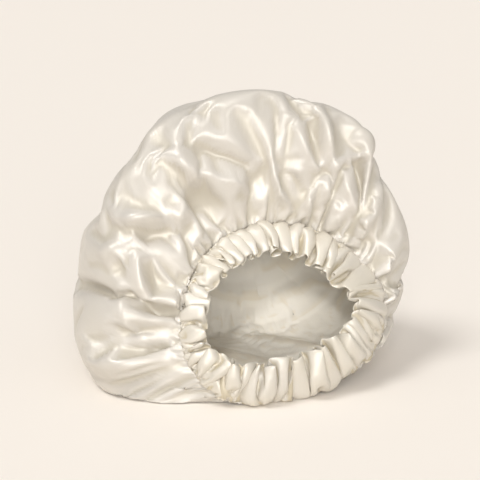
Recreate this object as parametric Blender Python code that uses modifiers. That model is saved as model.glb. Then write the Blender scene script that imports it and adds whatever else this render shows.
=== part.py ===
"""A satin sleep bonnet, lying as it rests on a table with its gathered mouth to the front.

Metres, +Z up, mouth towards -Y. The origin is the middle of the bonnet's footprint.
The crown is one thin wall of cloth, lofted from the mouth seam to its closed end.
The casing is the ruffled band round the mouth, with the elastic inside it.
"""

import math

import bpy
import numpy as np

# Driving sizes, in metres and degrees.
BAG_WIDTH = 0.288
BAG_DEPTH = 0.200
BAG_HEIGHT = 0.250
MOUTH_WIDTH = 0.184
MOUTH_HEIGHT = 0.156
CLOTH_THICKNESS = 0.0012
CASING_WIDTH = 0.030
CASING_THICKNESS = 0.0055
CASING_SLOPE = 56
CASING_SLOPE_SPREAD = 12
RUFFLE_COUNT = 42
RUFFLE_DEPTH = 0.0030
RUFFLE_SCALLOP = 0.0022
GATHER_DEPTH = 0.0022
GATHER_RISE = 0.008
GATHER_REACH = 0.030
FOLD_HEIGHT = 0.009
FOLD_WIDTH = 0.016
SEAM_CLEARANCE = 0.0016
FLOOR_SOFTNESS = 0.0025

# Looks of the satin.
CROWN_COLOUR = (0.82, 0.77, 0.68)
CASING_COLOUR = (0.80, 0.74, 0.62)
SATIN_ROUGHNESS = 0.38

# How finely the faceted walls are drawn.
CROWN_COLUMNS = 92
FRONT_ROWS = 16
BACK_ROWS = 9
FRONT_SHARE = 0.46
CASING_COLUMNS = 5 * RUFFLE_COUNT
CASING_RIM_POINTS = 6
FOLD_STEPS = 16

# Sections of the crown, from the mouth seam, past the neck behind it, to the closed end.
NECK_SHARE = 0.10
# x, y, z: the section's middle, as shares of the bag's width, depth and height.
# lean, turn: its tilts, in degrees, back from upright and towards +X.
# The eight reaches are shares of half the width and height, on the tilted section:
# the mouth's own up to the neck, and the bag's on the other rows.
SECTION_COLUMNS = (
    "along", "x", "y", "z", "lean", "turn",
    "right", "up_right", "up", "up_left", "left", "low_left", "low", "low_right",
)
SECTIONS = (
    (0.00, 0.125, -0.245, 0.271, 32, 20, 1.00, 1.00, 1.00, 0.98, 1.02, 1.18, 1.03, 1.00),
    (0.10, 0.110, -0.250, 0.315, 20, 18, 1.19, 1.30, 1.44, 1.36, 1.31, 1.36, 1.06, 1.20),
    (0.24, 0.070, -0.210, 0.380, 15, 14, 0.92, 0.94, 1.06, 1.04, 1.02, 1.16, 0.82, 0.86),
    (0.42, 0.045, 0.000, 0.450, 4, 8, 1.00, 1.00, 1.13, 1.09, 1.11, 1.28, 0.96, 1.02),
    (0.60, 0.030, 0.220, 0.440, 0, 4, 0.90, 0.98, 1.06, 1.02, 1.02, 1.14, 0.96, 0.98),
    (0.78, 0.020, 0.400, 0.430, 0, 0, 0.68, 0.76, 0.80, 0.76, 0.76, 0.80, 0.82, 0.72),
    (0.91, 0.010, 0.480, 0.420, 0, 0, 0.34, 0.38, 0.38, 0.38, 0.38, 0.40, 0.42, 0.38),
    (1.00, 0.010, 0.500, 0.420, 0, 0, 0.00, 0.00, 0.00, 0.00, 0.00, 0.00, 0.00, 0.00),
)

# Folds of the crown, each along a curve through three places on it.
# angle_1 to along_3: the places, in degrees round the mouth and in shares from seam to closed end.
# height, width: shares of FOLD_HEIGHT and FOLD_WIDTH; a height below 0 is a valley.
# crisp: 0 for a soft rounded fold, 1 for a pinched crease. step: 1 drops the far side of the curve.
FOLD_COLUMNS = (
    "angle_1", "along_1", "angle_2", "along_2", "angle_3", "along_3",
    "height", "width", "crisp", "step",
)
FOLDS = (
    # Upper left: the long ridge under a dark valley, and the wide dent below it.
    (121, 0.31, 121, 0.22, 114, 0.16, 0.8, 0.8, 0.0, 0.0),
    (118, 0.17, 107, 0.12, 95, 0.06, 0.8, 0.8, 0.0, 0.0),
    (119, 0.28, 107, 0.19, 94, 0.11, -0.8, 0.8, 0.0, 0.0),
    (112, 0.27, 104, 0.20, 95, 0.14, 0.4, 0.7, 0.0, 0.0),
    (132, 0.12, 120, 0.10, 108, 0.06, -1.0, 1.6, 0.0, 0.0),
    (142, 0.09, 131, 0.13, 119, 0.16, 0.7, 0.6, 0.0, 0.0),
    (154, 0.29, 147, 0.22, 136, 0.14, 0.9, 0.8, 0.0, 0.0),
    (156, 0.24, 148, 0.17, 138, 0.10, -0.7, 0.8, 0.0, 0.0),
    # Left: the puff, the upright ridge and the dent beside it, and the two deep creases.
    (176, 0.36, 168, 0.29, 160, 0.26, 0.5, 0.8, 0.0, 0.0),
    (176, 0.29, 170, 0.25, 166, 0.23, -0.5, 0.8, 0.0, 0.0),
    (157, 0.22, 165, 0.175, 178, 0.165, 0.6, 0.6, 0.0, 0.0),
    (154, 0.17, 166, 0.13, 177, 0.12, -0.8, 1.0, 0.0, 0.0),
    (178, 0.20, 182, 0.11, 181, 0.02, -0.9, 0.6, 0.6, 0.0),
    (172, 0.15, 175, 0.09, 174, 0.04, 0.6, 0.9, 0.0, 0.0),
    (177, 0.23, 189, 0.205, 198, 0.15, 0.8, 0.6, 0.3, 0.0),
    (203, 0.25, 200, 0.13, 199, 0.03, -1.0, 0.6, 0.6, 0.0),
    (193, 0.45, 187, 0.34, 180, 0.22, -0.7, 0.8, 0.2, 0.0),
    # Lower left: the low bulge on the table.
    (202, 0.34, 207, 0.20, 208, 0.09, 0.6, 0.9, 0.0, 0.0),
    (214, 0.32, 219, 0.20, 222, 0.08, -0.5, 0.7, 0.3, 0.0),
    (226, 0.26, 231, 0.17, 234, 0.07, 0.4, 0.7, 0.2, 0.0),
    # Top and upper right: two long ridges running down to the mouth, with valleys beside them.
    (86, 0.33, 74, 0.22, 66, 0.12, 0.8, 0.7, 0.3, 0.0),
    (67, 0.13, 60, 0.10, 53, 0.06, 0.6, 0.6, 0.3, 0.0),
    (79, 0.42, 69, 0.32, 60, 0.21, 0.7, 0.7, 0.3, 0.0),
    (61, 0.22, 50, 0.17, 40, 0.12, 0.7, 0.6, 0.3, 0.0),
    (79, 0.36, 72, 0.27, 66, 0.16, -0.8, 0.8, 0.0, 0.0),
    (70, 0.44, 60, 0.36, 52, 0.28, -0.6, 1.0, 0.0, 0.0),
    (51, 0.36, 46, 0.27, 39, 0.18, -0.9, 0.8, 0.0, 0.0),
    (58, 0.46, 50, 0.42, 42, 0.40, 0.5, 1.2, 0.0, 0.0),
    (30, 0.36, 35, 0.17, 34, 0.03, 0.6, 0.6, 0.3, 0.0),
    # Above the mouth: puckers that run into the seam.
    (90, 0.16, 86, 0.09, 77, 0.03, 0.6, 0.6, 0.5, 0.0),
    (85, 0.13, 77, 0.135, 73, 0.10, 0.4, 0.6, 0.3, 0.0),
    (73, 0.11, 70, 0.06, 67, 0.01, 0.6, 0.5, 0.4, 0.0),
    (60, 0.12, 59, 0.06, 57, 0.01, -0.9, 0.6, 0.5, 0.0),
    (42, 0.12, 43, 0.07, 44, 0.02, -0.5, 0.6, 0.3, 0.0),
    # Right: the bunched cloth beside the mouth.
    (22, 0.22, 18, 0.12, 19, 0.02, -0.6, 0.7, 0.2, 0.0),
    (12, 0.24, 10, 0.12, 11, 0.02, 0.6, 0.7, 0.2, 0.0),
    (3, 0.22, 2, 0.12, 3, 0.02, -0.6, 0.7, 0.2, 0.0),
    (-8, 0.24, -7, 0.12, -6, 0.02, 0.6, 0.7, 0.2, 0.0),
    (-18, 0.22, -17, 0.12, -16, 0.02, -0.5, 0.7, 0.2, 0.0),
    # Below the mouth: soft diagonal folds of the cloth that lies inside on the table.
    (240, 0.85, 258, 0.50, 290, 0.24, -1.4, 1.3, 0.0, 0.0),
    (262, 0.86, 278, 0.55, 308, 0.30, -1.2, 1.2, 0.0, 0.0),
    (228, 0.70, 240, 0.42, 262, 0.20, -1.0, 1.1, 0.0, 0.0),
    # Back: shallow dents where the empty bag sags.
    (78, 0.46, 84, 0.62, 90, 0.80, -0.7, 1.6, 0.0, 0.0),
    (126, 0.46, 122, 0.62, 118, 0.80, 0.7, 1.3, 0.0, 0.0),
    (140, 0.48, 144, 0.64, 150, 0.82, -0.8, 1.5, 0.0, 0.0),
    (176, 0.50, 172, 0.66, 168, 0.82, 0.6, 1.2, 0.0, 0.0),
    (205, 0.48, 196, 0.62, 190, 0.78, -0.8, 1.3, 0.0, 0.0),
    (28, 0.46, 34, 0.62, 42, 0.80, -0.7, 1.4, 0.0, 0.0),
    (8, 0.44, 6, 0.60, 4, 0.76, 0.6, 1.2, 0.0, 0.0),
    (-14, 0.46, -10, 0.60, -4, 0.76, -0.7, 1.2, 0.0, 0.0),
)


def round_trip(values, angle):
    """A smooth closed curve through evenly spaced values, read at each angle."""
    values = np.asarray(values, float)
    count = len(values)
    at = np.arange(count) * 2 * math.pi / count
    total = np.full(np.shape(angle), values.mean())
    for k in range(1, count // 2 + 1):
        share = 1 / count if 2 * k == count else 2 / count
        total = total + share * (values @ np.cos(k * at)) * np.cos(k * angle)
        if 2 * k < count:
            total = total + share * (values @ np.sin(k * at)) * np.sin(k * angle)
    return total


def spline_through(along, points, at):
    """A natural cubic spline through points given along a line, read at other places."""
    along = np.asarray(along, float)
    gap = np.diff(along)
    count = len(along)
    matrix = np.eye(count)
    right = np.zeros((count, points.shape[1]))
    slope = np.diff(points, axis=0) / gap[:, None]
    for i in range(1, count - 1):
        matrix[i, i - 1 : i + 2] = gap[i - 1], 2 * (gap[i - 1] + gap[i]), gap[i]
        right[i] = 6 * (slope[i] - slope[i - 1])
    bend = np.linalg.solve(matrix, right)
    i = np.clip(np.searchsorted(along, at, side="right") - 1, 0, count - 2)
    before = ((along[i + 1] - at) / gap[i])[:, None]
    after = 1 - before
    square = (gap[i] ** 2)[:, None] / 6
    return (
        before * points[i]
        + after * points[i + 1]
        + square * ((before**3 - before) * bend[i] + (after**3 - after) * bend[i + 1])
    )


def tilted_axes(lean, turn):
    """Right, up and inward directions of a section that leans back and turns aside."""
    lean, turn = math.radians(lean), math.radians(turn)
    right = np.array([math.cos(turn), math.sin(turn), 0.0])
    back = np.array([-math.sin(turn), math.cos(turn), 0.0])
    up = math.cos(lean) * np.array([0.0, 0.0, 1.0]) + math.sin(lean) * back
    return right, up, np.cross(up, right)


def bag_middle(place):
    return np.array([place["x"] * BAG_WIDTH, place["y"] * BAG_DEPTH, place["z"] * BAG_HEIGHT])


def section_loop(section, angle):
    """Points of one section of the crown, one for each angle."""
    place = dict(zip(SECTION_COLUMNS, section))
    right, up, inward = tilted_axes(place["lean"], place["turn"])
    near_mouth = place["along"] <= NECK_SHARE
    half_width = 0.5 * (MOUTH_WIDTH if near_mouth else BAG_WIDTH)
    half_height = 0.5 * (MOUTH_HEIGHT if near_mouth else BAG_HEIGHT)
    reach = round_trip([place[name] for name in SECTION_COLUMNS[6:]], angle)
    across = half_width * (reach * np.cos(angle))[:, None] * right
    return bag_middle(place) + across + half_height * (reach * np.sin(angle))[:, None] * up


def bag_surface(angle, along):
    """The smooth bag, as a grid of points: a row for each place along, a column for each angle."""
    loops = [section_loop(section, angle) for section in SECTIONS]
    places = [section[0] for section in SECTIONS]
    flat = np.array(loops).reshape(len(loops), -1)
    return spline_through(places, flat, along).reshape(len(along), len(angle), 3)


def laid_on_floor(points):
    """The points with what would hang below the floor pressed flat on it, round a soft edge."""
    points = points.copy()
    height = points[..., 2] / FLOOR_SOFTNESS
    soft = np.where(height < 1, 0.25 * np.maximum(height + 1, 0) ** 2, height)
    points[..., 2] = FLOOR_SOFTNESS * soft
    return points


def unit(vectors):
    return vectors / np.maximum(np.linalg.norm(vectors, axis=-1, keepdims=True), 1e-12)


def outward(grid):
    """The direction out of the bag at each point of a grid."""
    round_way = np.roll(grid, -1, axis=1) - np.roll(grid, 1, axis=1)
    back_way = np.gradient(grid, axis=0)
    return unit(np.cross(back_way, round_way))


def seam_angles(count):
    """Angles that space points evenly along the mouth seam, starting at +X."""
    fine = np.linspace(0, 2 * math.pi, 1441)
    loop = section_loop(SECTIONS[0], fine)
    run = np.concatenate([[0], np.cumsum(np.linalg.norm(np.diff(loop, axis=0), axis=1))])
    return np.interp(np.arange(count) / count, run / run[-1], fine)


def ruffle_phase(turns):
    """Where each place round the seam, from 0 to 1, stands in its ruffle: uneven, as gathers are."""
    way = 2 * math.pi * turns
    uneven = 1.1 * np.sin(3 * way + 0.6) + 0.9 * np.sin(5 * way + 2.1) + 0.7 * np.sin(11 * way)
    return RUFFLE_COUNT * way + uneven


def ruffle_size(turns):
    """How deep the ruffle is at each place round the seam, about 1."""
    way = 2 * math.pi * turns
    return 1 + 0.22 * np.sin(4 * way + 1.0) + 0.18 * np.sin(9 * way + 0.4) + 0.14 * np.sin(17 * way)


def distance_along(grid):
    """How far each point of a grid lies from its first row, along its column."""
    steps = np.linalg.norm(np.diff(grid, axis=0), axis=2)
    return np.concatenate([np.zeros((1, grid.shape[1])), np.cumsum(steps, axis=0)])


def gathers(grid, turns):
    """Height of the small gathers that run up from the seam, merging in pairs as they fade."""
    far = distance_along(grid)
    phase = ruffle_phase(turns)[None, :]
    rise = 1 - np.exp(-((far / GATHER_RISE) ** 2))
    fine = np.cos(phase) * np.exp(-far / (0.5 * GATHER_REACH))
    paired = np.cos(phase / 2 + 0.8) * np.exp(-far / (1.3 * GATHER_REACH))
    grouped = np.cos(phase / 6 + 0.3) * np.exp(-far / (2.6 * GATHER_REACH))
    return GATHER_DEPTH * rise * ruffle_size(turns)[None, :] * (fine + 0.9 * paired + 0.8 * grouped)


def fold_profile(across, crisp, step):
    """Height of a fold at distances across it, in fold widths."""
    soft = np.exp(-(across**2))
    pinched = np.exp(1 - np.sqrt(1 + (2.4 * across) ** 2))
    hump = (1 - crisp) * soft + crisp * pinched
    return (1 - abs(step)) * hump + step * hump * np.tanh(-2.5 * across) * 1.4


def fold_relief(grid, row):
    """Height that one fold adds at each point of the smooth bag."""
    fold = dict(zip(FOLD_COLUMNS, row))
    share = np.linspace(0, 1, FOLD_STEPS)
    first, middle, last = (1 - share) ** 2, 2 * share * (1 - share), share**2
    places = {}
    for name in ("angle", "along"):
        start, mid, end = (fold[f"{name}_{i}"] for i in (1, 2, 3))
        through = 2 * mid - (start + end) / 2
        places[name] = first * start + middle * through + last * end
    line = np.array(
        [
            bag_surface(np.array([math.radians(angle)]), np.array([along]))[0, 0]
            for angle, along in zip(places["angle"], places["along"])
        ]
    )
    width = fold["width"] * FOLD_WIDTH
    points = grid.reshape(-1, 3)
    best = np.full(len(points), np.inf)
    across = np.zeros(len(points))
    along = np.zeros(len(points))
    facing = outward(grid).reshape(-1, 3)
    for i in range(FOLD_STEPS - 1):
        run = line[i + 1] - line[i]
        from_start = points - line[i]
        part = np.clip(from_start @ run / (run @ run), 0, 1)
        off = from_start - part[:, None] * run
        far = np.linalg.norm(off, axis=1)
        nearer = far < best
        best = np.where(nearer, far, best)
        side = np.sign(np.einsum("ij,ij->i", np.cross(run, off), facing))
        across = np.where(nearer, side * far, across)
        along = np.where(nearer, (i + part) / (FOLD_STEPS - 1), along)
    fade = 1 - along**3 if fold["along_1"] == 0 else np.sin(math.pi * np.clip(along, 0.12, 0.88))
    height = fold["height"] * FOLD_HEIGHT * fade
    relief = height * fold_profile(across / width, fold["crisp"], fold["step"])
    return relief.reshape(grid.shape[:2])


def crown_grid(turns_count, front_rows, back_rows):
    """The crown's outer face as a grid of points, gathered, folded and laid on the floor."""
    turns = np.arange(turns_count) / turns_count
    front = np.linspace(0, FRONT_SHARE, front_rows, endpoint=False)
    along = np.concatenate([front, np.linspace(FRONT_SHARE, 1, back_rows + 1)])
    smooth = bag_surface(seam_angles(turns_count), along)
    relief = gathers(smooth, turns) + sum(fold_relief(smooth, row) for row in FOLDS)
    rise = 1 - np.exp(-((distance_along(smooth) / GATHER_RISE) ** 2))
    return laid_on_floor(smooth + (rise * relief)[..., None] * outward(smooth))


def casing_frame(angle):
    """For each angle: the seam point, the way the casing runs from it, and its outer side."""
    lean, turn = SECTIONS[0][4:6]
    right, up, inward = tilted_axes(lean, turn)
    seam = section_loop(SECTIONS[0], angle)
    along = unit(np.roll(seam, -1, axis=0) - np.roll(seam, 1, axis=0))
    outer = unit(np.cross(inward, along))
    slope = np.radians(CASING_SLOPE + CASING_SLOPE_SPREAD * np.sin(angle))[:, None]
    run = -np.cos(slope) * inward - np.sin(slope) * outer
    return seam, run, np.cross(along, run)


def casing_grid(count, rim_points):
    """The casing as a closed loop of rims, each a flat rounded section across the band."""
    turns = np.arange(count) / count
    seam, run, out = casing_frame(seam_angles(count))
    phase = ruffle_phase(turns)
    size = ruffle_size(turns)
    rim = 2 * math.pi * np.arange(rim_points) / rim_points
    share = 0.5 - 0.5 * np.cos(rim)
    half = 0.5 * CASING_THICKNESS * np.sin(rim) * (0.35 + 0.65 * share)
    points = []
    for far, thick in zip(share, half):
        wave = RUFFLE_DEPTH * far * np.cos(phase) * size
        reach = SEAM_CLEARANCE + far * (CASING_WIDTH + RUFFLE_SCALLOP * np.cos(phase) * size)
        points.append(seam + reach[:, None] * run + (wave + thick)[:, None] * out)
    return laid_on_floor(np.array(points))


def grid_faces(rows, columns, closed_rows=False):
    """Four-sided faces of a grid whose columns run round."""
    faces = []
    for row in range(rows if closed_rows else rows - 1):
        above = (row + 1) % rows
        for column in range(columns):
            beside = (column + 1) % columns
            faces.append(
                (
                    row * columns + column,
                    row * columns + beside,
                    above * columns + beside,
                    above * columns + column,
                )
            )
    return faces


def crown_mesh():
    """The crown's outer face: quads from the seam to the last row, and a fan that closes the end."""
    grid = crown_grid(CROWN_COLUMNS, FRONT_ROWS, BACK_ROWS)
    rows = len(grid) - 1
    points = np.vstack([grid[:-1].reshape(-1, 3), grid[-1, :1]])
    faces = grid_faces(rows, CROWN_COLUMNS)
    last, tip = (rows - 1) * CROWN_COLUMNS, rows * CROWN_COLUMNS
    for column in range(CROWN_COLUMNS):
        faces.append((last + column, last + (column + 1) % CROWN_COLUMNS, tip))
    return points, [face[::-1] for face in faces]


def casing_mesh():
    """The casing's whole face, closed round the mouth and round its own section."""
    grid = casing_grid(CASING_COLUMNS, CASING_RIM_POINTS)
    return grid.reshape(-1, 3), grid_faces(CASING_RIM_POINTS, CASING_COLUMNS, closed_rows=True)


def footprint_middle(points):
    """The middle of the box round the points, at its lowest height."""
    low, high = points.min(axis=0), points.max(axis=0)
    return np.array([*(0.5 * (low + high))[:2], low[2]])


def cloth(name, colour):
    """The satin of one piece."""
    material = bpy.data.materials.new(name)
    material.use_nodes = True
    shader = material.node_tree.nodes["Principled BSDF"]
    shader.inputs["Base Color"].default_value = (*colour, 1)
    shader.inputs["Roughness"].default_value = SATIN_ROUGHNESS
    shader.inputs["Metallic"].default_value = 0
    material.diffuse_color = (*colour, 1)
    return material


def add_piece(name, points, faces, middle, material, collection):
    """One named object, placed so that the footprint's middle is the origin."""
    mesh = bpy.data.meshes.new(name)
    mesh.from_pydata(points.tolist(), [], faces)
    mesh.shade_smooth()
    mesh.materials.append(material)
    piece = bpy.data.objects.new(name, mesh)
    piece.location = -middle
    collection.objects.link(piece)
    return piece


def clear_scene():
    for old in list(bpy.data.objects):
        bpy.data.objects.remove(old)


def main():
    clear_scene()
    bonnet = bpy.data.collections.new("sleep_bonnet")
    bpy.context.scene.collection.children.link(bonnet)
    crown_points, crown_faces = crown_mesh()
    casing_points, casing_faces = casing_mesh()
    middle = footprint_middle(np.vstack([crown_points, casing_points]))
    satin, casing_satin = cloth("crown_satin", CROWN_COLOUR), cloth("casing_satin", CASING_COLOUR)
    crown = add_piece("crown", crown_points, crown_faces, middle, satin, bonnet)
    wall = crown.modifiers.new("wall", "SOLIDIFY")
    wall.thickness = CLOTH_THICKNESS
    wall.offset = -1
    add_piece("casing", casing_points, casing_faces, middle, casing_satin, bonnet)


main()
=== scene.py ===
"""Looks of the satin sleep bonnet: its gathered crown, ruffled casing, satin and studio.

The crown and the casing are drawn from the same sections and folds as the solids, much finer.
Each is then simulated as cloth: it starts ungathered, its seam is drawn in to the mouth, and
the spare cloth buckles into gathers while soft pins hold the main folds.
"""

import math

import bpy
import numpy as np

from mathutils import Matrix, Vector
from mathutils import noise as noise_kit


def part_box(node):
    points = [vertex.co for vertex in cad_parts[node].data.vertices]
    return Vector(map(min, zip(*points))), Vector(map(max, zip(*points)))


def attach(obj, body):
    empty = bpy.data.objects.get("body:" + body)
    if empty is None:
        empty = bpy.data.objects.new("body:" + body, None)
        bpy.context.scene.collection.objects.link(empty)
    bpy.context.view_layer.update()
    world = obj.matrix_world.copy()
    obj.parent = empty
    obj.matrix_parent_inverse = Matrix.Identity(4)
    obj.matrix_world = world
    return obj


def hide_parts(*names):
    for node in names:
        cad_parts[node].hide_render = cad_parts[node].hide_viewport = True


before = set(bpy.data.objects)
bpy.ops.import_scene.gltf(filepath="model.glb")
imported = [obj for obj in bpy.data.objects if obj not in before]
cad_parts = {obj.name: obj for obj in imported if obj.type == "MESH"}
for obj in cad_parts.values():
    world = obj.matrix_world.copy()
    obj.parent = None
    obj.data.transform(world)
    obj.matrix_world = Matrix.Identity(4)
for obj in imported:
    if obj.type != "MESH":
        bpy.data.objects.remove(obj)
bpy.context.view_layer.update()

# Driving sizes, in metres and degrees, as the solids have them.
BAG_WIDTH = 0.288
BAG_DEPTH = 0.200
BAG_HEIGHT = 0.250
MOUTH_WIDTH = 0.184
MOUTH_HEIGHT = 0.156
CASING_WIDTHS = (0.050, 0.044, 0.036, 0.032, 0.028, 0.040, 0.048, 0.050)
CASING_SLOPE = 56
CASING_SLOPE_SPREAD = 12
RUFFLE_COUNT = 42
FOLD_HEIGHT = 0.014
FOLD_WIDTH = 0.0115
FLOOR_SOFTNESS = 0.0025

# The visual cloth.
CLOTH_THICKNESS = 0.0005
CROWN_COLUMNS = 8 * RUFFLE_COUNT
CROWN_ROWS = 96
CASING_COLUMNS = 11 * RUFFLE_COUNT
CASING_RIM_POINTS = 22
CASING_THICKNESS = 0.0090
RUFFLE_DEPTH = 0.0014
GATHER_DEPTH = 0.0010
GATHER_RISE = 0.006
GATHER_REACH = 0.030
FOLD_STEPS = 20

# How much longer the cloth is than the line it is gathered to, and how far up the crown that
# lasts: from the right of the mouth on, an eighth of a turn each.
SEAM_FULLNESS = 1.4
CASING_FULLNESS = 2.8
CASING_SPARE = 0.16
GATHERED_REACH = (0.050, 0.043, 0.038, 0.033, 0.030, 0.030, 0.030, 0.045)
UNEVENNESS = 0.0020
UNEVENNESS_SCALE = 100.0

# How far the drawn in crown leans to the right of its sections, its top more than the rest, and
# how far its low left side spreads on the table.
BODY_LEAN = 0.004
TOP_LEAN = 0.012
TOP_START = 0.19
TOP_RISE = 0.05
LOW_SPREAD = 0.016
LOW_HEIGHT = 0.085
LOW_FROM = 0.10

# Depth at which a hollow in the cloth counts as a full crease for the painted shade, which darkens the
# satin's colour there.
HOLLOW_DEPTH = 0.0016

# How the cloth is drawn in: soft pins draw it to the target by the first frame number.
DRAW_FRAMES = 14
POINT_DIGITS = 5
DRAPE_FRAMES = 24
CROWN_HOLD_NEAR = 0.04
CROWN_HOLD_FAR = 0.10
TABLE_HOLD = 0.30
TABLE_REACH = 0.06
SPARE_SHARE = 0.038
LOOSE_PLACES = (0, 0.06, 0.40, 0.60, 0.75, 0.88, 1)
LOOSE_SHARES = (0, 1.0, 0.9, 1.5, 2.8, 2.0, 1.0)
END_HOLD = 0.35
END_REACH = 0.12
CASING_HOLD = 0.03
CASING_EDGE_HOLD = 0.15
CROWN_FABRIC = {"bending": 7.0, "pressure": 0.5}
CASING_FABRIC = {"bending": 0.2, "pressure": 3.0}

# The sheets as cut: a round of satin for the crown, and a strip for the casing.
CLOTH_ROUND = 1.1

# The studio and the camera.
FLOOR_REACH = 60.0
FLOOR_GAP = 0.0002
FLOOR_COLOUR = (0.93, 0.88, 0.82)
LIGHT_AIM = (0.0, 0.0, 0.1)
KEY_PLACE = (-0.62, -0.30, 1.30)
KEY_STRENGTH = 1.15
KEY_SOFTNESS = 22
KEY_COLOUR = (1.0, 0.99, 0.98)
MOUTH_LIGHT_PLACE = (-0.16, -1.0, 0.70)
MOUTH_LIGHT_AIM = (0.02, 0.02, 0.065)
MOUTH_LIGHT_POWER = 40
MOUTH_LIGHT_SPREAD = 9
MOUTH_LIGHT_SIZE = 0.10
FRONT_PLACE = (0.05, -1.1, 0.40)
FRONT_STRENGTH = 1.9
FRONT_SOFTNESS = 40
ROOM_LOW = 0.31
ROOM_HIGH = 0.60
ROOM_COLOUR = (1.0, 0.96, 0.915)
CAMERA_ELEVATION = 14
CAMERA_LENS = 80
SENSOR = 36
VIEW_WIDTH = 0.408
VIEW_RISE = 0.1377
VIEW_FOOT = (-0.0021, -0.10, 0.0)

# Sections of the crown, from the mouth seam, past the neck behind it, to the closed end.
NECK_SHARE = 0.10
SECTION_COLUMNS = (
    "along", "x", "y", "z", "lean", "turn",
    "right", "up_right", "up", "up_left", "left", "low_left", "low", "low_right",
)
SECTIONS = (
    (0.00, 0.125, -0.245, 0.271, 32, 20, 1.00, 1.00, 1.00, 0.98, 1.02, 1.18, 1.03, 1.00),
    (0.10, 0.110, -0.250, 0.315, 20, 18, 1.19, 1.30, 1.44, 1.36, 1.31, 1.36, 1.06, 1.20),
    (0.24, 0.070, -0.210, 0.380, 15, 14, 0.92, 0.94, 1.06, 1.04, 1.02, 1.16, 0.82, 0.86),
    (0.42, 0.045, 0.000, 0.450, 4, 8, 1.00, 1.00, 1.13, 1.09, 1.11, 1.28, 0.96, 1.02),
    (0.60, 0.030, 0.220, 0.440, 0, 4, 0.90, 0.98, 1.06, 1.02, 1.02, 1.14, 0.96, 0.98),
    (0.78, 0.020, 0.400, 0.430, 0, 0, 0.68, 0.76, 0.80, 0.76, 0.76, 0.80, 0.82, 0.72),
    (0.91, 0.010, 0.480, 0.420, 0, 0, 0.34, 0.38, 0.38, 0.38, 0.38, 0.40, 0.42, 0.38),
    (1.00, 0.010, 0.500, 0.420, 0, 0, 0.00, 0.00, 0.00, 0.00, 0.00, 0.00, 0.00, 0.00),
)

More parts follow.
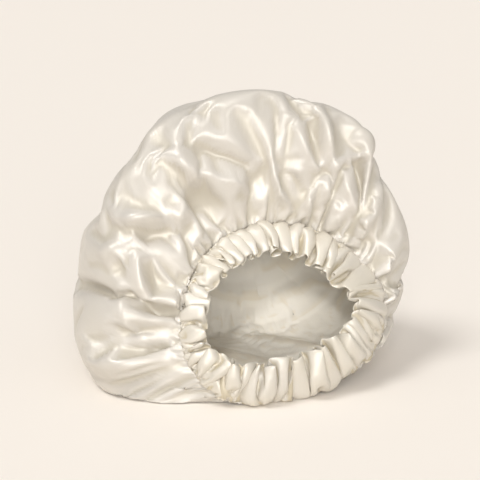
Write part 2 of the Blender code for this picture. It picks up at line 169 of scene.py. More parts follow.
# Folds of the crown, each along a curve through three places on it.
# angle_1 to along_3: the places, in degrees round the mouth and in shares from seam to closed end.
# height, width: shares of FOLD_HEIGHT and FOLD_WIDTH; a height below 0 is a valley.
# crisp: 0 for a soft rounded fold, 1 for a pinched crease. step: 1 drops the far side of the curve.
FOLD_COLUMNS = (
    "angle_1", "along_1", "angle_2", "along_2", "angle_3", "along_3",
    "height", "width", "crisp", "step",
)
FOLDS = (
    # Upper left: the long ridge under a dark valley, and the wide dent below it.
    (121, 0.31, 121, 0.22, 114, 0.16, 0.8, 0.8, 0.3, 0.0),
    (118, 0.17, 107, 0.12, 95, 0.06, 0.8, 0.8, 0.3, 0.0),
    (119, 0.28, 107, 0.19, 94, 0.11, -0.8, 0.8, 0.0, 0.0),
    (112, 0.27, 104, 0.20, 95, 0.14, 0.4, 0.7, 0.0, 0.0),
    (132, 0.12, 120, 0.10, 108, 0.06, -1.0, 1.6, 0.0, 0.0),
    (142, 0.09, 131, 0.13, 119, 0.16, 0.7, 0.6, 0.3, 0.0),
    (154, 0.29, 147, 0.22, 136, 0.14, 0.9, 0.8, 0.3, 0.0),
    (156, 0.24, 148, 0.17, 138, 0.10, -0.7, 0.8, 0.0, 0.0),
    # Left: the puff, the upright ridge and the dent beside it, and the two deep creases.
    (176, 0.36, 168, 0.29, 160, 0.26, 0.5, 0.8, 0.0, 0.0),
    (176, 0.29, 170, 0.25, 166, 0.23, -0.5, 0.8, 0.0, 0.0),
    (157, 0.22, 165, 0.175, 178, 0.165, 0.6, 0.6, 0.2, 0.0),
    (154, 0.17, 166, 0.13, 177, 0.12, -0.8, 1.0, 0.0, 0.0),
    (178, 0.20, 182, 0.11, 181, 0.02, -0.9, 0.5, 0.7, 0.0),
    (172, 0.15, 175, 0.09, 174, 0.04, 0.6, 0.9, 0.0, 0.0),
    (177, 0.23, 189, 0.205, 198, 0.15, 0.8, 0.6, 0.3, 0.0),
    (203, 0.25, 200, 0.13, 199, 0.03, -1.0, 0.5, 0.7, 0.0),
    (193, 0.45, 187, 0.34, 180, 0.22, -0.7, 0.8, 0.2, 0.0),
    # Lower left: the low bulge on the table.
    (202, 0.34, 207, 0.20, 208, 0.09, 0.6, 0.9, 0.0, 0.0),
    (214, 0.32, 219, 0.20, 222, 0.08, -0.5, 0.7, 0.3, 0.0),
    (226, 0.26, 231, 0.17, 234, 0.07, 0.4, 0.7, 0.2, 0.0),
    # Top and upper right: two long ridges running down to the mouth, with valleys beside them.
    (86, 0.33, 74, 0.22, 66, 0.12, 0.8, 0.7, 0.3, 0.0),
    (67, 0.13, 60, 0.10, 53, 0.06, 0.6, 0.6, 0.3, 0.0),
    (79, 0.42, 69, 0.32, 60, 0.21, 0.7, 0.7, 0.3, 0.0),
    (61, 0.22, 50, 0.17, 40, 0.12, 0.7, 0.6, 0.3, 0.0),
    (79, 0.36, 72, 0.27, 66, 0.16, -0.8, 0.8, 0.0, 0.0),
    (70, 0.44, 60, 0.36, 52, 0.28, -0.6, 1.0, 0.0, 0.0),
    (51, 0.36, 46, 0.27, 39, 0.18, -0.9, 0.8, 0.0, 0.0),
    (58, 0.46, 50, 0.42, 42, 0.40, 0.5, 1.2, 0.0, 0.0),
    (30, 0.36, 35, 0.17, 34, 0.03, 0.6, 0.6, 0.3, 0.0),
    # Above the mouth: puckers that run into the seam.
    (90, 0.16, 86, 0.09, 77, 0.03, 0.6, 0.5, 0.7, 0.0),
    (85, 0.13, 77, 0.135, 73, 0.10, 0.4, 0.5, 0.5, 0.0),
    (73, 0.11, 70, 0.06, 67, 0.01, 0.6, 0.5, 0.5, 0.0),
    (60, 0.12, 59, 0.06, 57, 0.01, -0.9, 0.5, 0.8, 0.0),
    (42, 0.12, 43, 0.07, 44, 0.02, -0.5, 0.6, 0.3, 0.0),
    # Right: the bunched cloth beside the mouth.
    (22, 0.22, 18, 0.12, 19, 0.02, -0.6, 0.7, 0.2, 0.0),
    (12, 0.24, 10, 0.12, 11, 0.02, 0.6, 0.7, 0.2, 0.0),
    (3, 0.22, 2, 0.12, 3, 0.02, -0.6, 0.7, 0.2, 0.0),
    (-8, 0.24, -7, 0.12, -6, 0.02, 0.6, 0.7, 0.2, 0.0),
    (-18, 0.22, -17, 0.12, -16, 0.02, -0.5, 0.7, 0.2, 0.0),
    # Below the mouth: soft diagonal folds of the cloth that lies inside on the table.
    (240, 0.85, 258, 0.50, 290, 0.24, -1.4, 1.8, 0.0, 0.0),
    (262, 0.86, 278, 0.55, 308, 0.30, -1.2, 1.7, 0.0, 0.0),
    (228, 0.70, 240, 0.42, 262, 0.20, -1.0, 1.6, 0.0, 0.0),
    # Back: shallow dents where the empty bag sags.
    (78, 0.46, 84, 0.62, 90, 0.80, -0.7, 2.2, 0.0, 0.0),
    (126, 0.46, 122, 0.62, 118, 0.80, 0.7, 1.8, 0.0, 0.0),
    (140, 0.48, 144, 0.64, 150, 0.82, -0.8, 2.1, 0.0, 0.0),
    (176, 0.50, 172, 0.66, 168, 0.82, 0.6, 1.7, 0.0, 0.0),
    (205, 0.48, 196, 0.62, 190, 0.78, -0.8, 1.8, 0.0, 0.0),
    (28, 0.46, 34, 0.62, 42, 0.80, -0.7, 2.0, 0.0, 0.0),
    (8, 0.44, 6, 0.60, 4, 0.76, 0.6, 1.7, 0.0, 0.0),
    (-14, 0.46, -10, 0.60, -4, 0.76, -0.7, 1.7, 0.0, 0.0),
)


def round_trip(values, angle):
    """A smooth closed curve through evenly spaced values, read at each angle."""
    values = np.asarray(values, float)
    count = len(values)
    at = np.arange(count) * 2 * math.pi / count
    total = np.full(np.shape(angle), values.mean())
    for k in range(1, count // 2 + 1):
        share = 1 / count if 2 * k == count else 2 / count
        total = total + share * (values @ np.cos(k * at)) * np.cos(k * angle)
        if 2 * k < count:
            total = total + share * (values @ np.sin(k * at)) * np.sin(k * angle)
    return total


def spline_through(along, points, at):
    """A natural cubic spline through points given along a line, read at other places."""
    along = np.asarray(along, float)
    gap = np.diff(along)
    count = len(along)
    matrix = np.eye(count)
    right = np.zeros((count, points.shape[1]))
    slope = np.diff(points, axis=0) / gap[:, None]
    for i in range(1, count - 1):
        matrix[i, i - 1 : i + 2] = gap[i - 1], 2 * (gap[i - 1] + gap[i]), gap[i]
        right[i] = 6 * (slope[i] - slope[i - 1])
    bend = np.linalg.solve(matrix, right)
    i = np.clip(np.searchsorted(along, at, side="right") - 1, 0, count - 2)
    before = ((along[i + 1] - at) / gap[i])[:, None]
    after = 1 - before
    square = (gap[i] ** 2)[:, None] / 6
    return (
        before * points[i]
        + after * points[i + 1]
        + square * ((before**3 - before) * bend[i] + (after**3 - after) * bend[i + 1])
    )


def tilted_axes(lean, turn):
    """Right, up and inward directions of a section that leans back and turns aside."""
    lean, turn = math.radians(lean), math.radians(turn)
    right = np.array([math.cos(turn), math.sin(turn), 0.0])
    back = np.array([-math.sin(turn), math.cos(turn), 0.0])
    up = math.cos(lean) * np.array([0.0, 0.0, 1.0]) + math.sin(lean) * back
    return right, up, np.cross(up, right)


def bag_middle(place):
    return np.array([place["x"] * BAG_WIDTH, place["y"] * BAG_DEPTH, place["z"] * BAG_HEIGHT])


def section_loop(section, angle):
    """Points of one section of the crown, one for each angle."""
    place = dict(zip(SECTION_COLUMNS, section))
    right, up, inward = tilted_axes(place["lean"], place["turn"])
    near_mouth = place["along"] <= NECK_SHARE
    half_width = 0.5 * (MOUTH_WIDTH if near_mouth else BAG_WIDTH)
    half_height = 0.5 * (MOUTH_HEIGHT if near_mouth else BAG_HEIGHT)
    reach = round_trip([place[name] for name in SECTION_COLUMNS[6:]], angle)
    across = half_width * (reach * np.cos(angle))[:, None] * right
    return bag_middle(place) + across + half_height * (reach * np.sin(angle))[:, None] * up


def bag_surface(angle, along):
    """The smooth bag, as a grid of points: a row for each place along, a column for each angle."""
    loops = [section_loop(section, angle) for section in SECTIONS]
    places = [section[0] for section in SECTIONS]
    flat = np.array(loops).reshape(len(loops), -1)
    return spline_through(places, flat, along).reshape(len(along), len(angle), 3)


def laid_on_floor(points):
    """The points with what would hang below the floor pressed flat on it, round a soft edge."""
    points = points.copy()
    height = points[..., 2] / FLOOR_SOFTNESS
    soft = np.where(height < 1, 0.25 * np.maximum(height + 1, 0) ** 2, height)
    points[..., 2] = FLOOR_SOFTNESS * soft
    return points


def unit(vectors):
    return vectors / np.maximum(np.linalg.norm(vectors, axis=-1, keepdims=True), 1e-12)


def outward(grid):
    """The direction out of the bag at each point of a grid."""
    round_way = np.roll(grid, -1, axis=1) - np.roll(grid, 1, axis=1)
    back_way = np.gradient(grid, axis=0)
    return unit(np.cross(back_way, round_way))


def seam_angles(count):
    """Angles that space points evenly along the mouth seam, starting at +X."""
    fine = np.linspace(0, 2 * math.pi, 1441)
    loop = section_loop(SECTIONS[0], fine)
    run = np.concatenate([[0], np.cumsum(np.linalg.norm(np.diff(loop, axis=0), axis=1))])
    return np.interp(np.arange(count) / count, run / run[-1], fine)


def ruffle_phase(turns):
    """Where each place round the seam, from 0 to 1, stands in its ruffle: uneven, as gathers are."""
    way = 2 * math.pi * turns
    uneven = 1.1 * np.sin(3 * way + 0.6) + 0.9 * np.sin(5 * way + 2.1) + 0.7 * np.sin(11 * way)
    return RUFFLE_COUNT * way + uneven


def ruffle_size(turns):
    """How deep the ruffle is at each place round the seam, about 1."""
    way = 2 * math.pi * turns
    return 1 + 0.22 * np.sin(4 * way + 1.0) + 0.18 * np.sin(9 * way + 0.4) + 0.14 * np.sin(17 * way)


def distance_along(grid):
    """How far each point of a grid lies from its first row, along its column."""
    steps = np.linalg.norm(np.diff(grid, axis=0), axis=2)
    return np.concatenate([np.zeros((1, grid.shape[1])), np.cumsum(steps, axis=0)])


def gathers(grid, turns):
    """Height of the small gathers that run up from the seam, merging in pairs as they fade."""
    far = distance_along(grid)
    phase = ruffle_phase(turns)[None, :]
    rise = 1 - np.exp(-((far / GATHER_RISE) ** 2))
    fine = np.cos(phase) * np.exp(-far / (0.5 * GATHER_REACH))
    paired = np.cos(phase / 2 + 0.8) * np.exp(-far / (1.3 * GATHER_REACH))
    grouped = np.cos(phase / 6 + 0.3) * np.exp(-far / (2.6 * GATHER_REACH))
    return GATHER_DEPTH * rise * ruffle_size(turns)[None, :] * (fine + 0.9 * paired + 0.8 * grouped)


def fold_profile(across, crisp, step):
    """Height of a fold at distances across it, in fold widths."""
    soft = np.exp(-(across**2))
    pinched = np.exp(1 - np.sqrt(1 + (2.4 * across) ** 2))
    hump = (1 - crisp) * soft + crisp * pinched
    return (1 - abs(step)) * hump + step * hump * np.tanh(-2.5 * across) * 1.4


def fold_relief(grid, row):
    """Height that one fold adds at each point of the smooth bag."""
    fold = dict(zip(FOLD_COLUMNS, row))
    share = np.linspace(0, 1, FOLD_STEPS)
    first, middle, last = (1 - share) ** 2, 2 * share * (1 - share), share**2
    places = {}
    for name in ("angle", "along"):
        start, mid, end = (fold[f"{name}_{i}"] for i in (1, 2, 3))
        through = 2 * mid - (start + end) / 2
        places[name] = first * start + middle * through + last * end
    line = np.array(
        [
            bag_surface(np.array([math.radians(angle)]), np.array([along]))[0, 0]
            for angle, along in zip(places["angle"], places["along"])
        ]
    )
    width = fold["width"] * FOLD_WIDTH
    points = grid.reshape(-1, 3)
    best = np.full(len(points), np.inf)
    across = np.zeros(len(points))
    along = np.zeros(len(points))
    facing = outward(grid).reshape(-1, 3)
    for i in range(FOLD_STEPS - 1):
        run = line[i + 1] - line[i]
        from_start = points - line[i]
        part = np.clip(from_start @ run / (run @ run), 0, 1)
        off = from_start - part[:, None] * run
        far = np.linalg.norm(off, axis=1)
        nearer = far < best
        best = np.where(nearer, far, best)
        side = np.sign(np.einsum("ij,ij->i", np.cross(run, off), facing))
        across = np.where(nearer, side * far, across)
        along = np.where(nearer, (i + part) / (FOLD_STEPS - 1), along)
    fade = 1 - along**3 if fold["along_1"] == 0 else np.sin(math.pi * np.clip(along, 0.12, 0.88))
    height = fold["height"] * FOLD_HEIGHT * fade
    relief = height * fold_profile(across / width, fold["crisp"], fold["step"])
    return relief.reshape(grid.shape[:2])


def crown_rows(rows):
    """Shares along the crown, closer together near the seam."""
    share = np.linspace(0, 1, rows + 1)
    return 0.55 * share + 0.45 * share**2


def crown_shape(columns, rows):
    """The gathered and folded crown, and the smooth bag under it."""
    turns = np.arange(columns) / columns
    smooth = bag_surface(seam_angles(columns), crown_rows(rows))
    relief = gathers(smooth, turns) + sum(fold_relief(smooth, row) for row in FOLDS)
    rise = 1 - np.exp(-((distance_along(smooth) / GATHER_RISE) ** 2))
    return laid_on_floor(smooth + (rise * relief)[..., None] * outward(smooth)), smooth


def casing_frame(angle):
    """For each angle: the seam point, the way the casing runs from it, and its outer side."""
    lean, turn = SECTIONS[0][4:6]
    right, up, inward = tilted_axes(lean, turn)
    seam = section_loop(SECTIONS[0], angle)
    along = unit(np.roll(seam, -1, axis=0) - np.roll(seam, 1, axis=0))
    outer = unit(np.cross(inward, along))
    slope = np.radians(CASING_SLOPE + CASING_SLOPE_SPREAD * np.sin(angle))[:, None]
    run = -np.cos(slope) * inward - np.sin(slope) * outer
    return seam, run, np.cross(along, run)


def casing_shape(columns, rim_points):
    """The barely ruffled casing as a closed loop of rims, each a rounded section across the band."""
    turns = np.arange(columns) / columns
    seam, run, out = casing_frame(seam_angles(columns))
    rim = 2 * math.pi * np.arange(rim_points) / rim_points
    share = 0.5 - 0.5 * np.cos(rim)
    half = 0.5 * CASING_THICKNESS * np.sin(rim) * (0.35 + 0.65 * share)
    wave = RUFFLE_DEPTH * np.cos(ruffle_phase(turns)) * ruffle_size(turns)
    width = round_trip(CASING_WIDTHS, seam_angles(columns))[:, None]
    points = [
        seam + far * width * run + (thick + far * wave)[:, None] * out
        for far, thick in zip(share, half)
    ]
    return np.array(points), seam


def grid_faces(rows, columns, closed_rows=False):
    """Four-sided faces of a grid whose columns run round."""
    faces = []
    for row in range(rows if closed_rows else rows - 1):
        above = (row + 1) % rows
        for column in range(columns):
            beside = (column + 1) % columns
            faces.append(
                (
                    row * columns + column,
                    row * columns + beside,
                    above * columns + beside,
                    above * columns + column,
                )
            )
    return faces


def footprint_shift(grid):
    """How far the solids' frame lies from the frame of the sections."""
    low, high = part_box("crown")
    solid_middle = 0.5 * (np.array(low) + np.array(high))
    shift = solid_middle - 0.5 * (grid.min(axis=(0, 1)) + grid.max(axis=(0, 1)))
    return np.array([shift[0], shift[1], 0.0])


def add_mesh(name, points, faces):
    mesh = bpy.data.meshes.new(name)
    mesh.from_pydata(points.tolist(), [], faces)
    mesh.shade_smooth()
    piece = bpy.data.objects.new(name, mesh)
    bpy.context.scene.collection.objects.link(piece)
    return piece


def set_hold(piece, weights):
    """A vertex group whose weight at each point says how firmly the point is held."""
    group = piece.vertex_groups.new(name="hold")
    steps = np.round(weights, 3)
    for weight in np.unique(steps):
        if weight > 0:
            group.add(np.flatnonzero(steps == weight).tolist(), float(weight), "REPLACE")
    return group.name


def drawn_in(natural, target, faces, weights, fabric):
    """Cloth of the natural shape, drawn in to the target by soft pins: its points at the end."""
    natural, target = np.round(natural, POINT_DIGITS), np.round(target, POINT_DIGITS)
    piece = add_mesh("drawn_cloth", natural, faces)
    piece.shape_key_add(name="natural")
    drawn = piece.shape_key_add(name="drawn_in")
    drawn.data.foreach_set("co", target.ravel())
    drawn.value = 0
    drawn.keyframe_insert("value", frame=1)
    drawn.value = 1
    drawn.keyframe_insert("value", frame=DRAW_FRAMES)
    cloth = piece.modifiers.new("cloth", "CLOTH")
    settings = cloth.settings
    settings.vertex_group_mass = set_hold(piece, weights)
    settings.quality = 5
    settings.mass = 0.15
    settings.air_damping = 4
    settings.tension_stiffness = settings.compression_stiffness = 25
    settings.shear_stiffness = 10
    settings.bending_stiffness = fabric["bending"]
    settings.tension_damping = settings.compression_damping = 10
    settings.shear_damping = 10
    settings.use_pressure = fabric["pressure"] > 0
    settings.uniform_pressure_force = fabric["pressure"]
    settings.effector_weights.gravity = 0
    cloth.collision_settings.use_collision = False
    cloth.point_cache.frame_end = DRAPE_FRAMES
    scene = bpy.context.scene
    for step in range(1, DRAPE_FRAMES + 1):
        scene.frame_set(step)
    final = piece.evaluated_get(bpy.context.evaluated_depsgraph_get()).to_mesh()
    points = np.empty(len(final.vertices) * 3)
    final.vertices.foreach_get("co", points)
    scene.frame_set(1)
    mesh = piece.data
    motion = mesh.shape_keys.animation_data.action
    bpy.data.objects.remove(piece)
    bpy.data.meshes.remove(mesh)
    bpy.data.actions.remove(motion)
    return points.reshape(-1, 3)


def uneven(grid):
    """The grid moved a little here and there, so that no two gathers buckle alike."""
    moves = [noise_kit.noise_vector(Vector(point) * UNEVENNESS_SCALE) for point in grid.reshape(-1, 3)]
    return grid + UNEVENNESS * np.array(moves).reshape(grid.shape)


def closed_end(grid):
    """A grid's points as one list, with its last row joined into one point."""
    return np.vstack([grid[:-1].reshape(-1, 3), grid[-1, :1]])


def opened_end(points):
    """A closed crown's points as a grid again, its last point repeated in every column."""
    end = np.repeat(points[-1:], CROWN_COLUMNS, axis=0)
    return np.vstack([points[:-1], end]).reshape(CROWN_ROWS + 1, CROWN_COLUMNS, 3)


def crown_faces():
    faces = grid_faces(CROWN_ROWS, CROWN_COLUMNS)
    last, tip = (CROWN_ROWS - 1) * CROWN_COLUMNS, CROWN_ROWS * CROWN_COLUMNS
    for column in range(CROWN_COLUMNS):
        faces.append((last + column, last + (column + 1) % CROWN_COLUMNS, tip))
    return [face[::-1] for face in faces]


def lean(grid):
    """How far each point of the crown moves to the right once it is drawn in."""
    top = np.clip((grid[..., 2] - TOP_START) / TOP_RISE, 0, 1)
    low = np.clip(1 - grid[..., 2] / LOW_HEIGHT, 0, 1) * np.clip(-grid[..., 0] / LOW_FROM, 0, 1)
    return BODY_LEAN + TOP_LEAN * top - LOW_SPREAD * low


def gathered_crown():
    """The crown's outer face: points, faces, lengths of cloth from the seam, and the shift."""
    target, smooth = crown_shape(CROWN_COLUMNS, CROWN_ROWS)
    far = distance_along(smooth)
    past = np.clip(far / round_trip(GATHERED_REACH, seam_angles(CROWN_COLUMNS)), 0, 1)
    shift = footprint_shift(target)
    target[..., 0] += lean(target) * past
    aside = (SEAM_FULLNESS - 1) * (smooth[0] - smooth[0].mean(axis=0))
    loose = np.interp(crown_rows(CROWN_ROWS), LOOSE_PLACES, LOOSE_SHARES)[:, None, None]
    middle = target.mean(axis=(0, 1))
    natural = target + ((1 - past) ** 1.5)[..., None] * aside + SPARE_SHARE * loose * (target - middle)
    hold = CROWN_HOLD_NEAR + (CROWN_HOLD_FAR - CROWN_HOLD_NEAR) * past**2.5
    hold += TABLE_HOLD * np.clip(1 - target[..., 2] / TABLE_REACH, 0, 1)
    hold += END_HOLD * np.clip(1 - (1 - crown_rows(CROWN_ROWS)) / END_REACH, 0, 1)[:, None]
    hold[0] = 1
    faces = crown_faces()
    points = closed_end(target)
    firmness = np.append(hold[:-1].ravel(), 1)
    points = drawn_in(closed_end(natural), points, faces, firmness, CROWN_FABRIC)
    return laid_on_floor(points) + shift, faces, far, shift


def gathered_casing():
    """The casing's face: points and faces."""
    target, seam = casing_shape(CASING_COLUMNS, CASING_RIM_POINTS)
    natural = target + (CASING_FULLNESS - 1) * (seam - seam.mean(axis=0))
    natural += CASING_SPARE * (target - seam)
    target = uneven(target)
    hold = np.full(target.shape[:2], CASING_HOLD)
    hold[0] = 1
    hold[CASING_RIM_POINTS // 2] = CASING_EDGE_HOLD
    faces = grid_faces(CASING_RIM_POINTS, CASING_COLUMNS, closed_rows=True)
    points = target.reshape(-1, 3)
    points = drawn_in(natural.reshape(-1, 3), points, faces, hold.ravel(), CASING_FABRIC)
    return laid_on_floor(points), faces


def set_cloth_places(piece, across, along):
    """A UV map in metres of cloth: across the thread columns, and along them from the seam."""
    layer = piece.data.uv_layers.new(name="cloth")
    corner_points = np.empty(len(piece.data.loops), dtype=np.int64)
    piece.data.loops.foreach_get("vertex_index", corner_points)
    places = np.stack([across[corner_points], along[corner_points]], axis=1)
    layer.data.foreach_set("uv", places.ravel())


def hollows(grid, reach, closed_rows):
    """How deep each point lies below the cloth around it: 1 in a crease, -1 on a ridge."""
    rows = np.arange(len(grid))
    near = [np.roll(grid, step, axis=1) for step in (-reach, reach)]
    for step in (-reach, reach):
        beside = (rows + step) % len(grid) if closed_rows else np.clip(rows + step, 0, len(grid) - 1)
        near.append(grid[beside])
    facing = outward(grid)
    if closed_rows:
        facing *= np.sign(np.sum(facing * (grid - grid.mean(axis=0))))
    depth = np.einsum("ijk,ijk->ij", np.mean(near, axis=0) - grid, facing)
    return np.clip(depth / HOLLOW_DEPTH, -1, 1)


def set_painted_shade_mask(piece, values):
    # The mask of painted shade: how far each point's colour is darkened toward the crease colour.
    layer = piece.data.attributes.new("painted_shade_mask", "FLOAT", "POINT")
    layer.data.foreach_set("value", values.ravel())


def wall(piece, thickness):
    """Gives the cloth its thickness inward, with the second material on its inner face."""
    solid = piece.modifiers.new("cloth_thickness", "SOLIDIFY")
    solid.thickness = thickness
    solid.offset = -1
    solid.material_offset = 1
    solid.material_offset_rim = 0


def new_material(name):
    material = bpy.data.materials.new(name)
    material.use_nodes = True
    return material, material.node_tree, material.node_tree.nodes["Principled BSDF"]


def noise(tree, vector, scale, detail, kind="FBM"):
    node = tree.nodes.new("ShaderNodeTexNoise")
    node.noise_type = kind
    node.inputs["Scale"].default_value = scale
    node.inputs["Detail"].default_value = detail
    tree.links.new(vector, node.inputs["Vector"])
    return node.outputs[0]


def stretched(tree, vector, scale):
    node = tree.nodes.new("ShaderNodeMapping")
    node.inputs["Scale"].default_value = scale
    tree.links.new(vector, node.inputs["Vector"])
    return node.outputs[0]


def bump(tree, height, distance, strength, under=None):
    node = tree.nodes.new("ShaderNodeBump")
    node.inputs["Distance"].default_value = distance
    node.inputs["Strength"].default_value = strength
    tree.links.new(height, node.inputs["Height"])
    if under:
        tree.links.new(under, node.inputs["Normal"])
    return node.outputs[0]


def in_range(tree, value, low, high, from_low=0.3, from_high=0.7):
    node = tree.nodes.new("ShaderNodeMapRange")
    node.inputs["From Min"].default_value = from_low
    node.inputs["From Max"].default_value = from_high
    node.inputs["To Min"].default_value = low
    node.inputs["To Max"].default_value = high
    tree.links.new(value, node.inputs["Value"])
    return node.outputs[0]


def mixed(tree, share, first, second):
    node = tree.nodes.new("ShaderNodeMix")
    node.data_type = "RGBA"
    node.inputs["A"].default_value = (*first, 1)
    node.inputs["B"].default_value = (*second, 1)
    tree.links.new(share, node.inputs["Factor"])
    return node.outputs["Result"]


def darkened(tree, share, colour, other):
    node = tree.nodes.new("ShaderNodeMix")
    node.data_type = "RGBA"
    node.inputs["B"].default_value = (*other, 1)
    tree.links.new(colour, node.inputs["A"])
    tree.links.new(share, node.inputs["Factor"])
    return node.outputs["Result"]


def satin(name, look):
    """Woven cloth: gloss in fine streaks along the thread, small creases, a warmer tone in places,
    painted shade in creases.
    """
    material, tree, shader = new_material(name)
    cloth = tree.nodes.new("ShaderNodeUVMap")
    cloth.uv_map = "cloth"
    place = cloth.outputs["UV"]
    room = tree.nodes.new("ShaderNodeTexCoord").outputs["Object"]
    streaks = noise(tree, stretched(tree, place, (900, 55, 1)), 1, 3)
    crumple = noise(tree, room, look["crease_scale"], 4, "RIDGED_MULTIFRACTAL")
    cloud = noise(tree, room, 28, 3)
    shader.inputs["Metallic"].default_value = look["metallic"]
    shader.inputs["Specular IOR Level"].default_value = look["specular"]
    shader.inputs["Anisotropic"].default_value = look["anisotropic"]
    shader.inputs["Sheen Weight"].default_value = look["sheen"]
    shader.inputs["Sheen Roughness"].default_value = 0.4
    shader.inputs["Sheen Tint"].default_value = (1, 0.95, 0.86, 1)
    painted_shade_mask = tree.nodes.new("ShaderNodeAttribute")
    painted_shade_mask.attribute_name = "painted_shade_mask"
    tint = mixed(tree, cloud, look["warm"], look["pale"])
    # Painted shade: the colour is darkened toward the crease colour where the cloth lies in a hollow,
    # more so in deeper hollows.
    in_creases = in_range(tree, painted_shade_mask.outputs["Fac"], 0, 1, 0.0, 1.0)
    tree.links.new(darkened(tree, in_creases, tint, look["crease"]), shader.inputs["Base Color"])
    tree.links.new(
        in_range(tree, streaks, look["roughness"] - 0.09, look["roughness"] + 0.09),
        shader.inputs["Roughness"],
    )
    if look["anisotropic"]:
        tangent = tree.nodes.new("ShaderNodeTangent")
        tangent.direction_type = "UV_MAP"
        tangent.uv_map = "cloth"
        tree.links.new(tangent.outputs[0], shader.inputs["Tangent"])
    creases = bump(tree, crumple, look["crease_depth"], 0.5)
    tree.links.new(bump(tree, streaks, 0.00022, 0.5, creases), shader.inputs["Normal"])
    return material


CROWN_LOOK = dict(
    pale=(0.65, 0.62, 0.575),
    warm=(0.62, 0.58, 0.51),
    # painted shade: the colour the satin face is darkened to in its creases
    crease=(0.57, 0.53, 0.45),
    roughness=0.44,
    metallic=0.22,
    specular=0.7,
    anisotropic=0.7,
    sheen=0.10,
    crease_scale=48,
    crease_depth=0.0018,
)
CASING_LOOK = dict(
    # the casing's painted shade in its creases is warmer and deeper
    CROWN_LOOK, warm=(0.65, 0.60, 0.49), crease=(0.55, 0.49, 0.37), crease_scale=90, crease_depth=0.0014
)
REVERSE_LOOK = dict(
    pale=(0.92, 0.88, 0.80),
    warm=(0.90, 0.85, 0.745),
    # painted shade: the colour the reverse is darkened to in its creases
    crease=(0.85, 0.78, 0.65),
    roughness=0.62,
    metallic=0.0,
    specular=0.35,
    anisotropic=0.0,
    sheen=0.3,
    crease_scale=34,
    crease_depth=0.0012,
)


def add_crown():
    points, faces, far, shift = gathered_crown()
    piece = add_mesh("satin_crown", points, faces)
    turns = np.arange(CROWN_COLUMNS) / CROWN_COLUMNS
    round_cloth = np.repeat(turns[None], CROWN_ROWS + 1, 0) * CLOTH_ROUND
    across = np.append(round_cloth[:-1].ravel(), 0)
    set_cloth_places(piece, across, np.append(far[:-1].ravel(), far[-1, 0]))
    # The mask of painted shade in the crown's creases.
    set_painted_shade_mask(piece, np.append(hollows(opened_end(points), 3, False)[:-1], 0))
    piece.data.materials.append(satin("satin_face", CROWN_LOOK))
    piece.data.materials.append(satin("satin_reverse", REVERSE_LOOK))
    wall(piece, CLOTH_THICKNESS)
    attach(piece, "root")
    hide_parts("crown")
    return piece, shift


def add_casing(shift):
    points, faces = gathered_casing()
    piece = add_mesh("ruffled_casing", points + shift, faces)
    round_cloth, rim_cloth = np.meshgrid(
        np.arange(CASING_COLUMNS) / CASING_COLUMNS * CLOTH_ROUND,
        np.arange(CASING_RIM_POINTS) / CASING_RIM_POINTS * 2 * CASING_WIDTHS[0],
    )
    set_cloth_places(piece, round_cloth.ravel(), rim_cloth.ravel())
    ruffled = points.reshape(CASING_RIM_POINTS, CASING_COLUMNS, 3)
    # The mask of painted shade in the casing's creases.
    set_painted_shade_mask(piece, hollows(ruffled, 2, True))
    piece.data.materials.append(satin("casing_face", CASING_LOOK))
    fine = piece.modifiers.new("finer", "SUBSURF")
    fine.levels = fine.render_levels = 1
    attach(piece, "root")
    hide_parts("casing")
    return piece


def add_floor():
    """A plain pale floor, far wider than the view."""
    reach = FLOOR_REACH
    corners = np.array([(-reach, -reach, 0), (reach, -reach, 0), (reach, reach, 0), (-reach, reach, 0)])
    floor = add_mesh("floor", corners - np.array([0, 0, FLOOR_GAP]), [(0, 1, 2, 3)])
    material, tree, shader = new_material("floor")
    shader.inputs["Base Color"].default_value = (*FLOOR_COLOUR, 1)
    shader.inputs["Roughness"].default_value = 0.9
    shader.inputs["Specular IOR Level"].default_value = 0.1
    floor.data.materials.append(material)


def add_light(name, data, place, energy, aim=LIGHT_AIM):
    light = bpy.data.objects.new(name, data)
    data.energy = energy
    data.color = KEY_COLOUR
    light.location = place
    light.rotation_mode = "QUATERNION"
    light.rotation_quaternion = (Vector(place) - Vector(aim)).to_track_quat("Z", "Y")
    bpy.context.scene.collection.objects.link(light)
    return light


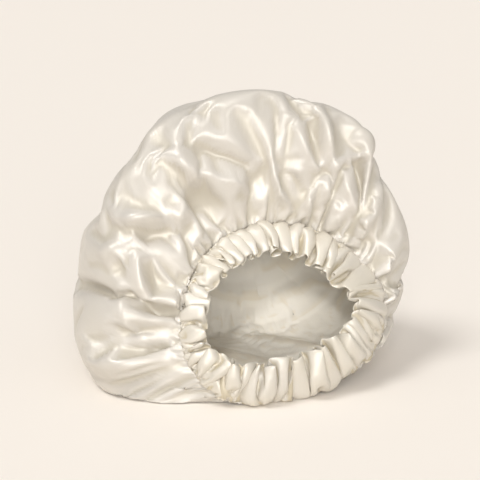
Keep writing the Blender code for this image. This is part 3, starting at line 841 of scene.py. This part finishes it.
def add_lights():
    """A soft key from the upper left, a low fill in front, a lamp on the mouth and a bright room."""
    sun = bpy.data.lights.new("key", "SUN")
    sun.angle = math.radians(KEY_SOFTNESS)
    add_light("key", sun, KEY_PLACE, KEY_STRENGTH)
    lamp = bpy.data.lights.new("mouth_lamp", "SPOT")
    lamp.spot_size = math.radians(MOUTH_LIGHT_SPREAD)
    lamp.spot_blend = 1
    lamp.shadow_soft_size = MOUTH_LIGHT_SIZE
    add_light("mouth_lamp", lamp, MOUTH_LIGHT_PLACE, MOUTH_LIGHT_POWER, MOUTH_LIGHT_AIM)
    front = bpy.data.lights.new("front", "SUN")
    front.angle = math.radians(FRONT_SOFTNESS)
    add_light("front", front, FRONT_PLACE, FRONT_STRENGTH)
    world = bpy.data.worlds.new("studio")
    world.use_nodes = True
    tree = world.node_tree
    facing = tree.nodes.new("ShaderNodeTexCoord").outputs["Generated"]
    split = tree.nodes.new("ShaderNodeSeparateXYZ")
    tree.links.new(facing, split.inputs[0])
    level = in_range(tree, split.outputs["Z"], ROOM_LOW, ROOM_HIGH, -0.1, 0.9)
    background = tree.nodes["Background"]
    background.inputs["Color"].default_value = (*ROOM_COLOUR, 1)
    tree.links.new(level, background.inputs["Strength"])
    bpy.context.scene.world = world


def add_camera(shift):
    """The photograph's view: level with the mouth's side, looking down a little."""
    lift = math.radians(CAMERA_ELEVATION)
    back = Vector((0, -math.cos(lift), math.sin(lift)))
    up = Vector((0, math.sin(lift), math.cos(lift)))
    aim = Vector(shift) + Vector(VIEW_FOOT) + up * VIEW_RISE
    data = bpy.data.cameras.new("camera")
    data.lens = CAMERA_LENS
    data.sensor_width = SENSOR
    camera = bpy.data.objects.new("camera", data)
    camera.location = aim + back * (VIEW_WIDTH * CAMERA_LENS / SENSOR)
    camera.rotation_mode = "QUATERNION"
    camera.rotation_quaternion = back.to_track_quat("Z", "Y")
    bpy.context.scene.collection.objects.link(camera)
    bpy.context.scene.camera = camera


def main():
    crown, shift = add_crown()
    casing = add_casing(shift)
    add_floor()
    add_lights()
    add_camera(shift)
    bpy.context.scene.view_settings.view_transform = "Standard"


main()
